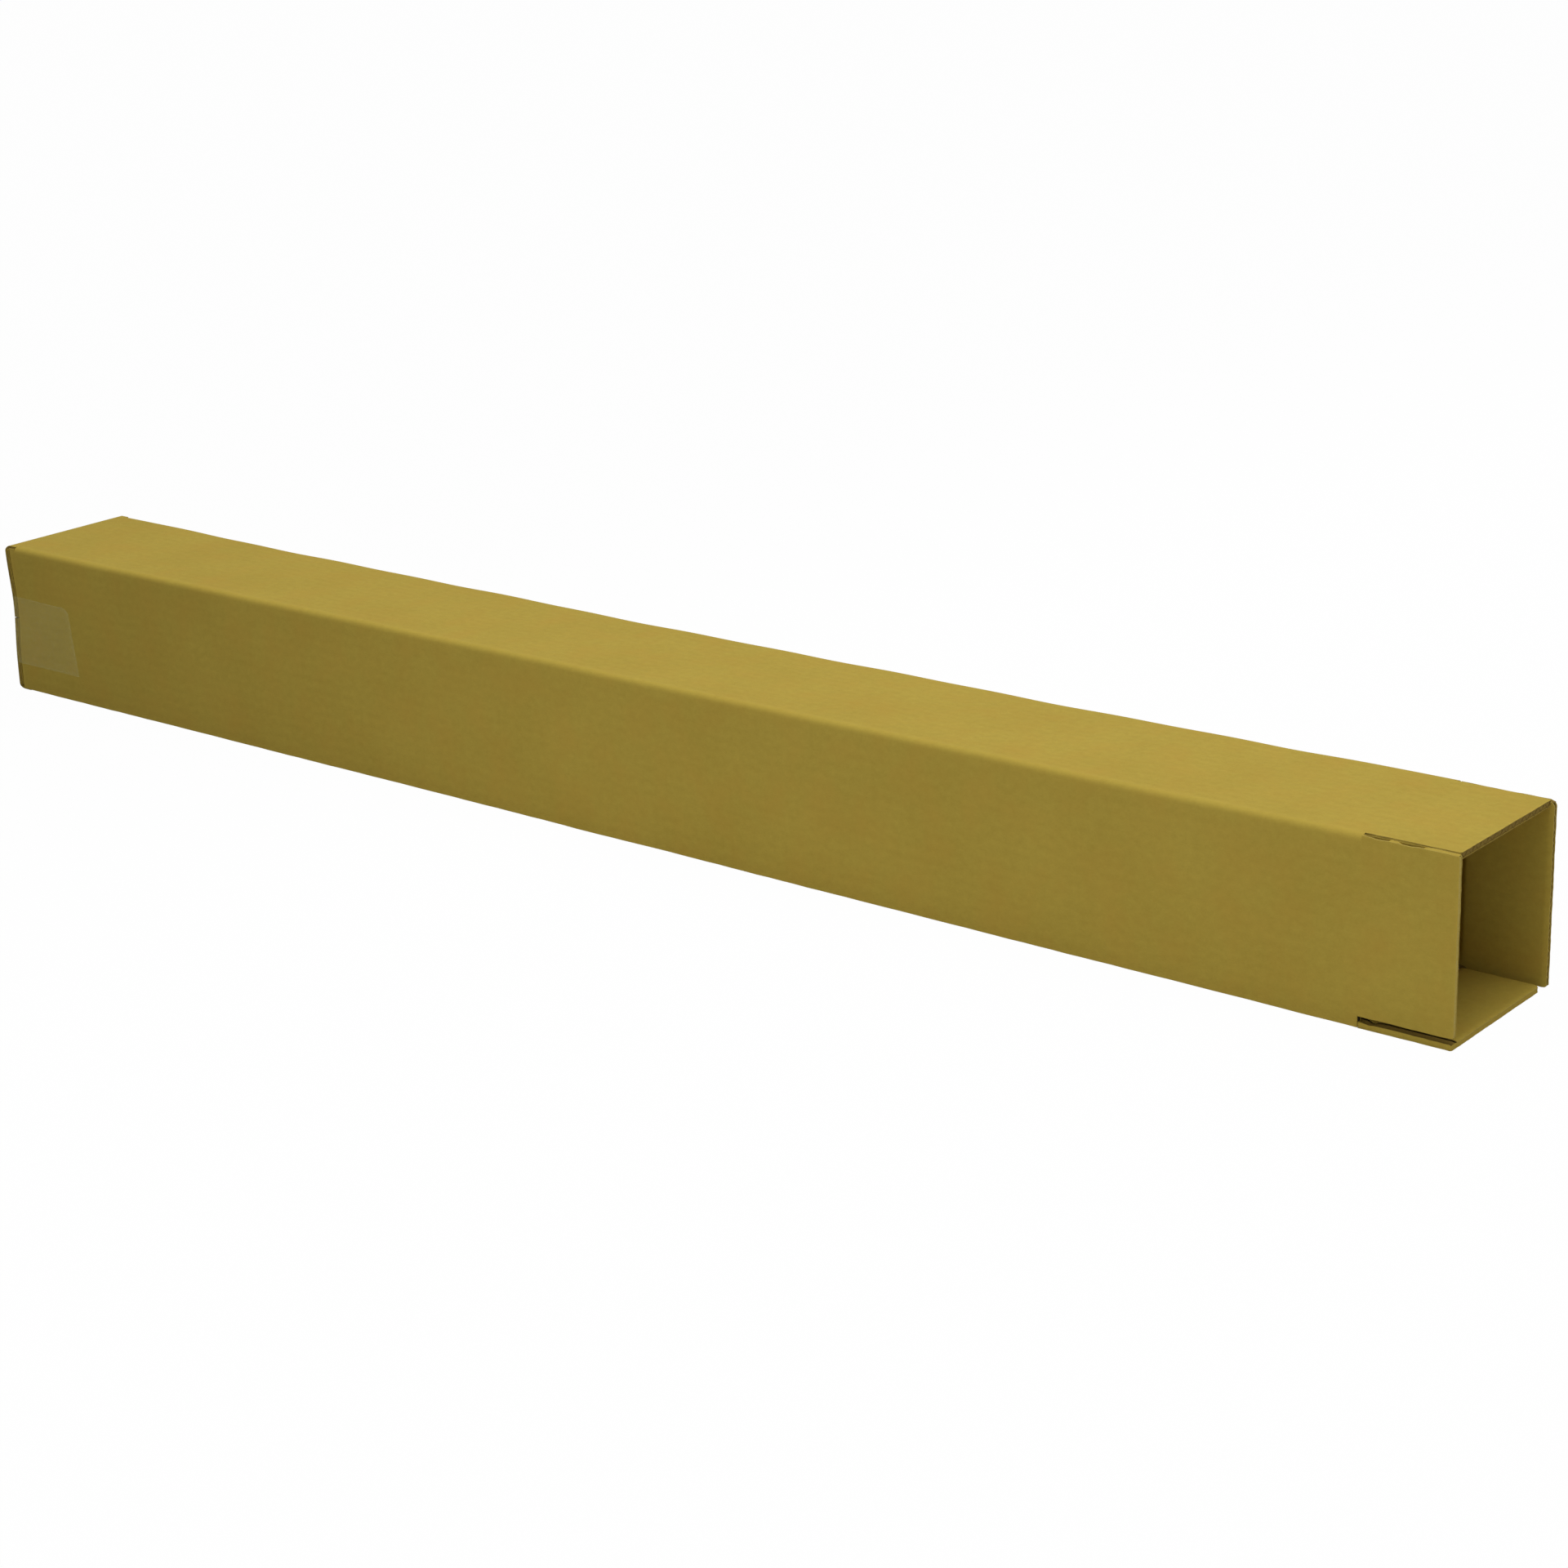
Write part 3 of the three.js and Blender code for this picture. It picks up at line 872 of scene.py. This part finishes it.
class Wire:
    """A shader socket that arithmetic can be written with. Each sum adds its Math node."""

    def __init__(self, shader, socket):
        self.shader = shader
        self.socket = socket

    def math(self, operation, *others, clamp=False):
        settings = {"operation": operation, "use_clamp": clamp}
        return self.shader.add("ShaderNodeMath", settings, dict(enumerate((self, *others))))

    def __add__(self, other):
        return self.math("ADD", other)

    def __sub__(self, other):
        return self.math("SUBTRACT", other)

    def __mul__(self, other):
        return self.math("MULTIPLY", other)

    def __truediv__(self, other):
        return self.math("DIVIDE", other)

    def __rsub__(self, other):
        return self.shader.add("ShaderNodeMath", {"operation": "SUBTRACT"}, {0: other, 1: self})

    __radd__ = __add__
    __rmul__ = __mul__

    def sine(self):
        return self.math("SINE")

    def size(self):
        return self.math("ABSOLUTE")

    def clamped(self):
        return self.math("ADD", 0.0, clamp=True)

    def over(self, threshold, softness):
        """0 well below the threshold and 1 well above it."""
        rise = (self - (threshold - softness)) * (0.5 / softness)
        return rise.clamped()


class Shader:
    """The nodes of one material or world."""

    def __init__(self, owner):
        self.owner = owner
        owner.use_nodes = True
        self.tree = owner.node_tree
        self.tree.nodes.clear()

    def add(self, kind, settings=None, inputs=None, output=0):
        """Adds a node: its settings first, then the values or links of its sockets."""
        node = self.tree.nodes.new(kind)
        for name, value in (settings or {}).items():
            setattr(node, name, value)
        for key, value in (inputs or {}).items():
            if isinstance(value, Wire):
                self.tree.links.new(value.socket, node.inputs[key])
            else:
                node.inputs[key].default_value = value
        return Wire(self, node.outputs[output]) if node.outputs else None

    def blank(self):
        """Where a point lies in the flat sheet: along, round, and 0 outside to 1 inside."""
        return self.add("ShaderNodeAttribute", {"attribute_name": "blank"}, output="Vector")

    def wear(self):
        return self.add("ShaderNodeAttribute", {"attribute_name": "wear"}, output="Fac")

    def part(self, vector, axis):
        return self.add("ShaderNodeSeparateXYZ", None, {0: vector}, output=axis)

    def stretched(self, vector, scale):
        return self.add("ShaderNodeVectorMath", {"operation": "MULTIPLY"}, {0: vector, 1: scale})

    def noise(self, vector, scale, detail=3.0, roughness=0.55):
        """Cloudy noise between 0 and 1, scale in features a metre."""
        return self.add(
            "ShaderNodeTexNoise",
            {"noise_dimensions": "3D"},
            {"Vector": vector, "Scale": scale, "Detail": detail, "Roughness": roughness},
            output="Fac",
        )

    def mix(self, factor, *colours):
        """Goes from the first colour to the second. Each is a socket or three numbers."""
        first, second = (c if isinstance(c, Wire) else (*c, 1.0) for c in colours)
        inputs = {0: factor, 6: first, 7: second}
        return self.add("ShaderNodeMix", {"data_type": "RGBA"}, inputs, output=2)

    def seen_white(self):
        """1 for what the camera, a reflection or clear film looks at, and 0 for plain light."""
        camera, glossy, through_it = (
            self.add("ShaderNodeLightPath", output=f"Is {kind} Ray")
            for kind in ("Camera", "Glossy", "Transmission")
        )
        return (camera + glossy + through_it).clamped()

    def bump(self, height, distance, strength):
        inputs = {"Height": height, "Distance": distance, "Strength": strength}
        return self.add("ShaderNodeBump", None, inputs)

    def surface(self, **inputs):
        named = {key.replace("_", " "): value for key, value in inputs.items()}
        return self.end("Material", self.add("ShaderNodeBsdfPrincipled", None, named))

    def paper(self, colour, roughness, shine, relief, depth, strength):
        """Closes a matte paper, whose relief is bumped to the depth given."""
        return self.surface(
            Base_Color=colour,
            Roughness=roughness,
            Specular_IOR_Level=shine,
            Normal=self.bump(relief, depth, strength),
        )

    def blend(self, factor, first, second):
        return self.add("ShaderNodeMixShader", None, {0: factor, 1: first, 2: second})

    def end(self, kind, surface):
        """Shows the surface, and gives back the material or world."""
        self.add("ShaderNodeOutput" + kind, None, {"Surface": surface})
        return self.owner


def kraft_liner():
    """Brown liner paper: clouds and fibres, the flutes showing through, and scuffed folds."""
    look = bpy.context.scene.carton_look
    sizes = bpy.context.scene.carton_board
    shader = Shader(bpy.data.materials.new("kraft_liner"))
    place = shader.blank()
    across = shader.part(place, "Y")
    clouds = shader.noise(place, 17.0, 4.0)
    mottle = shader.noise(shader.stretched(place, (1.0, 1.25, 1.0)), 190.0, 3.0, 0.6)
    fibres = shader.noise(shader.stretched(place, (1.0, 1.5, 1.0)), 640.0, 3.0, 0.7)
    warmth = shader.noise(shader.stretched(place, (1.0, 0.8, 1.0)), 38.0, 2.0)
    specks = shader.noise(place, 900.0, 1.0, 0.5).over(0.735, 0.02)
    flutes = (across * (2 * math.pi / sizes.flute)).sine()
    tone = (clouds - 0.5) + (mottle - 0.5) * 1.35 + (fibres - 0.5) * 1.1 + flutes * 0.03
    paler = shader.mix((tone * 0.9).clamped(), look.kraft, look.pale)
    paper = shader.mix((tone * -0.9).clamped(), paler, look.dark)
    paper = shader.mix((warmth - 0.42).clamped() * 1.2, paper, look.warm)
    scuffs = shader.noise(place, 240.0, 4.0, 0.65)
    worn = (shader.wear() * (0.25 + scuffs * 0.75)).over(0.42, 0.25) * 0.5
    scuffed = shader.mix(worn, paper, look.pale)
    colour = shader.mix(specks * 0.45, scuffed, look.dark)
    height = fibres * 0.5 + mottle * 0.8 + flutes * 0.35 + scuffs * shader.wear() * 0.8
    roughness = look.roughness + (mottle - 0.5) * 0.12 + worn * 0.08
    return shader.paper(colour, roughness, 0.12, height, 0.16 * MM, 0.55)


def cut_across():
    """A cut across the flutes: the wave between two liners, with the flutes' hollows painted near
    black as shade.
    """
    look = bpy.context.scene.carton_look
    sizes = bpy.context.scene.carton_board
    shader = Shader(bpy.data.materials.new("cut_across_flutes"))
    place = shader.blank()
    frayed = (shader.noise(place, 900.0, 2.0) - 0.5) * (0.3 * MM)
    depth = (shader.part(place, "Z") - 0.5) * sizes.thickness + frayed
    swing = (sizes.thickness - 2 * sizes.liner - sizes.medium) / 2
    phase = shader.part(place, "Y") * (2 * math.pi / sizes.flute)
    from_wave = (depth - phase.sine() * swing).size()
    slope = (phase + math.pi / 2).sine().size() * 0.9 + 1.0
    wave = 1 - (from_wave / slope).over(sizes.medium * 0.62, 0.1 * MM)
    liners = depth.size().over(sizes.thickness / 2 - sizes.liner, 0.07 * MM)
    # Off the wave and the liners, the flat cut face is painted near black as the shade inside the
    # flutes' hollows
    hollow = shader.mix(wave, look.hollow, look.medium)
    colour = shader.mix(liners, hollow, look.pale)
    solid = wave.math("MAXIMUM", liners)
    return shader.paper(colour, 0.9, 0.15, solid, 0.6 * MM, 0.8)


def cut_along():
    """A cut along the flutes: two liner edges and the torn waved sheet between them."""
    look = bpy.context.scene.carton_look
    sizes = bpy.context.scene.carton_board
    shader = Shader(bpy.data.materials.new("cut_along_flutes"))
    place = shader.blank()
    torn = shader.noise(shader.stretched(place, (1.0, 1.0, 0.004)), 120.0, 3.0)
    fuzz = shader.noise(place, 1100.0, 2.0)
    depth = (shader.part(place, "Z") - 0.5) * sizes.thickness + (fuzz - 0.5) * (0.25 * MM)
    liners = depth.size().over(sizes.thickness / 2 - 1.15 * sizes.liner, 0.1 * MM)
    sheet = (depth - (torn - 0.5) * (5.5 * MM)).size()
    wave = 1 - sheet.over(0.55 * MM, 0.3 * MM)
    hollow = shader.mix(wave, look.medium, look.dark)
    colour = shader.mix(liners, hollow, look.kraft)
    solid = wave.math("MAXIMUM", liners)
    return shader.paper(colour, 0.9, 0.15, solid, 0.5 * MM, 0.7)


def waved_medium():
    """The rougher, darker paper of the waved sheet and of every cut through a single ply."""
    look = bpy.context.scene.carton_look
    shader = Shader(bpy.data.materials.new("waved_medium"))
    place = shader.blank()
    clouds = shader.noise(place, 60.0, 3.0)
    fuzz = shader.noise(shader.stretched(place, (1.0, 3.0, 1.0)), 900.0, 3.0, 0.7)
    tone = (clouds - 0.5) * 0.8 + (fuzz - 0.5) * 1.1
    paler = shader.mix((tone * 0.8).clamped(), look.medium, look.kraft)
    colour = shader.mix((tone * -0.8).clamped(), paler, look.dark)
    return shader.paper(colour, 0.88 + (fuzz - 0.5) * 0.1, 0.15, fuzz, 0.12 * MM, 0.7)


def cut_paper():
    """The pale, fuzzy edge of a single cut ply."""
    look = bpy.context.scene.carton_look
    shader = Shader(bpy.data.materials.new("cut_paper"))
    fuzz = shader.noise(shader.blank(), 1300.0, 3.0, 0.7)
    colour = shader.mix(fuzz.over(0.5, 0.2), look.kraft, look.cut)
    return shader.paper(colour, 0.92, 0.1, fuzz, 0.1 * MM, 0.6)


def tape_film():
    """Clear film with a faint haze, streaks along its length, small bubbles and a lighter edge."""
    look = bpy.context.scene.carton_tape
    shader = Shader(bpy.data.materials.new("tape_film"))
    place = shader.blank()
    streaks = shader.noise(shader.stretched(place, (0.6, 9.0, 1.0)), 60.0, 3.0)
    bubbles = shader.noise(place, 210.0, 2.0).over(0.66, 0.035)
    creases = shader.noise(shader.stretched(place, (2.6, 0.7, 1.0)), 26.0, 2.0)
    edge = shader.wear()
    haze = look.haze * (0.6 + streaks * 0.8) + bubbles * 0.05 + edge * 0.03
    colour = shader.mix(edge.clamped(), look.colour, look.edge_colour)
    height = streaks * 0.35 + bubbles * 0.8 + creases * 2.2
    return shader.surface(
        Base_Color=colour,
        Roughness=0.24 + streaks * 0.12,
        Alpha=haze.clamped(),
        IOR=1.49,
        Normal=shader.bump(height, 0.12 * MM, 0.6),
    )


def board_materials():
    """The finishes of the board, made once and shared by its pieces."""
    names = ("kraft_liner", "cut_across_flutes", "cut_along_flutes", "waved_medium", "cut_paper")
    makers = (kraft_liner, cut_across, cut_along, waved_medium, cut_paper)
    return [bpy.data.materials.get(name) or make() for name, make in zip(names, makers)]


class CARTON_OT_build_sheet(bpy.types.Operator):
    """Folds the panels, the glue tab and the closed end out of one sheet of board"""

    bl_idname = "carton.build_sheet"
    bl_label = "Folded sheet"

    def execute(self, context):
        liner, across, along, _, _ = board_materials()
        piece = folded_sheet().object("folded_sheet", [liner, across, along])
        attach(piece, "carton")
        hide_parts("carton_body")
        return {"FINISHED"}


class CARTON_OT_build_flaps(bpy.types.Operator):
    """Makes the four flaps of the open end, each creased at its score"""

    bl_idname = "carton.build_flaps"
    bl_label = "Open flaps"

    def execute(self, context):
        liner, _, _, medium, cut = board_materials()
        for name, side in SIDES.items():
            piece = OpenFlap(side).build().object(f"{name}_flap_board", [liner, cut, medium])
            reach = np.array([FOLD_REACH, 0.0, 0.0])
            score = side.point(side.score, 0.0, 0.0)
            tuple(score - reach)
            tuple(score + reach)
            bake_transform(piece)
            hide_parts(f"{name}_flap")
        return {"FINISHED"}


class CARTON_OT_build_tape(bpy.types.Operator):
    """Lays the clear tape over the closed end"""

    bl_idname = "carton.build_tape"
    bl_label = "End tape"

    def execute(self, context):
        piece = tape_sheet().object("tape_film", [tape_film()])
        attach(piece, "carton")
        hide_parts("end_tape")
        return {"FINISHED"}


def studio_camera():
    """The camera at the photograph's viewing angle."""
    studio = bpy.context.scene.carton_studio
    azimuth, elevation, roll = (
        math.radians(angle) for angle in (studio.azimuth, studio.elevation, studio.roll)
    )
    flat = math.cos(elevation)
    back = Vector((math.sin(azimuth) * flat, -math.cos(azimuth) * flat, math.sin(elevation)))
    level = (-back).cross(Vector((0, 0, 1))).normalized()
    rise = back.cross(level)
    right = level * math.cos(roll) + rise * math.sin(roll)
    up = rise * math.cos(roll) - level * math.sin(roll)
    data = bpy.data.cameras.new("studio_camera")
    data.lens = studio.lens
    data.sensor_width = 36
    data.clip_end = 50
    camera = placed("studio_camera", data)
    turned = Matrix((right, up, back)).transposed().to_4x4()
    camera.matrix_world = Matrix.Translation(Vector(studio.target) + back * studio.distance) @ turned
    bpy.context.scene.camera = camera


def area_lamp(name, place, aim, size, power):
    data = bpy.data.lights.new(name, "AREA")
    data.shape = "RECTANGLE"
    data.size, data.size_y = size
    data.energy = power
    lamp = placed(name, data)
    lamp.location = place
    lamp.rotation_euler = (Vector(aim) - Vector(place)).to_track_quat("-Z", "Y").to_euler()


def pale_floor():
    """A wide floor that the camera sees as near white, with the carton's faint shadow on it."""
    studio = bpy.context.scene.carton_studio
    mesh = bpy.data.meshes.new("floor")
    far = 30.0
    corners = [(-far, -far, 0), (far, -far, 0), (far, far, 0), (-far, far, 0)]
    mesh.from_pydata(corners, [], [(0, 1, 2, 3)])
    floor = placed("floor", mesh)
    floor.location.z = -0.2 * MM
    shader = Shader(bpy.data.materials.new("pale_floor"))
    shown = shader.seen_white() * studio.floor_white
    along = shader.part(shader.add("ShaderNodeTexCoord", output="Object"), "X")
    duller = ((along * -1.0 - studio.dull_from) * (1 / studio.dull_over)).clamped()
    tone = shader.mix(duller, studio.floor_paint, studio.dull_paint)
    matte = {"Base Color": tone, "Roughness": 1.0, "Specular IOR Level": 0.0}
    paint = shader.add("ShaderNodeBsdfPrincipled", None, matte)
    glow = shader.add("ShaderNodeEmission", None, {"Color": WHITE, "Strength": 1.0})
    mesh.materials.append(shader.end("Material", shader.blend(shown, paint, glow)))


def white_surroundings():
    """Even light from all round, which the camera and reflections see as white."""
    studio = bpy.context.scene.carton_studio
    shader = Shader(bpy.data.worlds.new("studio"))
    light, shown = (
        shader.add("ShaderNodeBackground", None, {"Color": WHITE, "Strength": strength})
        for strength in (studio.ambient, 1.0)
    )
    bpy.context.scene.world = shader.end("World", shader.blend(shader.seen_white(), light, shown))


class CARTON_OT_build_studio(bpy.types.Operator):
    """Sets up the camera, the lamps, the pale floor and the white surroundings"""

    bl_idname = "carton.build_studio"
    bl_label = "Studio"

    def execute(self, context):
        studio = context.scene.carton_studio
        context.scene.view_settings.view_transform = "Standard"
        studio_camera()
        pale_floor()
        white_surroundings()
        area_lamp("lamp_above", *LAMP_ABOVE, studio.key)
        area_lamp("lamp_beside", *LAMP_BESIDE, studio.side)
        return {"FINISHED"}


BUILD_STEPS = (
    CARTON_OT_build_sheet,
    CARTON_OT_build_flaps,
    CARTON_OT_build_tape,
    CARTON_OT_build_studio,
)


class CARTON_PT_panel(bpy.types.Panel):
    """Lists the steps that build the carton"""

    bl_idname = "CARTON_PT_panel"
    bl_label = "Long carton"
    bl_space_type = "VIEW_3D"
    bl_region_type = "UI"
    bl_category = "Carton"

    def draw(self, context):
        for step in BUILD_STEPS:
            self.layout.operator(step.bl_idname)
        for name in SETTINGS:
            box = self.layout.box()
            settings = getattr(context.scene, name)
            for key in settings.__annotations__:
                box.prop(settings, key)


SETTINGS = {
    "carton_board": BoardSizes,
    "carton_look": BoardLook,
    "carton_tape": TapeLook,
    "carton_studio": StudioSettings,
}
CLASSES = (*SETTINGS.values(), *BUILD_STEPS, CARTON_PT_panel)


def register():
    for made in CLASSES:
        bpy.utils.register_class(made)
    for name, made in SETTINGS.items():
        setattr(bpy.types.Scene, name, PointerProperty(type=made))


def unregister():
    for name in SETTINGS:
        delattr(bpy.types.Scene, name)
    for made in reversed(CLASSES):
        bpy.utils.unregister_class(made)


def main():
    register()
    bpy.ops.carton.build_sheet()
    bpy.ops.carton.build_flaps()
    bpy.ops.carton.build_tape()
    bpy.ops.carton.build_studio()


if __name__ == "__main__":
    main()
